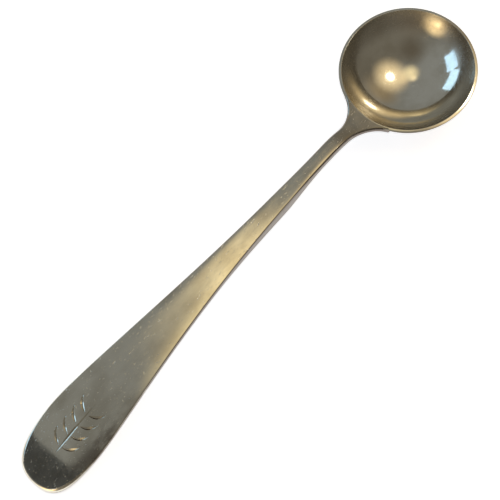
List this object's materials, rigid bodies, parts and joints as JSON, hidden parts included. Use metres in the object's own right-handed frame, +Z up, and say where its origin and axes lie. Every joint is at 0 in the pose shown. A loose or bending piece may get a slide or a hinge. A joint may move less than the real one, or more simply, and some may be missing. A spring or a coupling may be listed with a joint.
{
  "type": "salt spoon",
  "caption": "Silver salt spoon with a round bowl, a slim arched stem and a broad flat handle with a rounded, turned-down end, for serving table salt.",
  "frame": {"origin": "on the table, under the middle of the spoon's length, on its plane of symmetry", "axes": "+X along the spoon from the end of the handle to the bowl, +Z up, out of the open bowl"},
  "size_m": [0.0976, 0.022, 0.0087],
  "materials": {
    "bowl_silver": "gloss",
    "stem_silver": "gloss",
    "solder": "satin"
  },
  "bodies": {
    "root": {"bowl": "bowl_silver", "stem": "stem_silver", "solder_seam": "solder"}
  },
  "joints": []
}
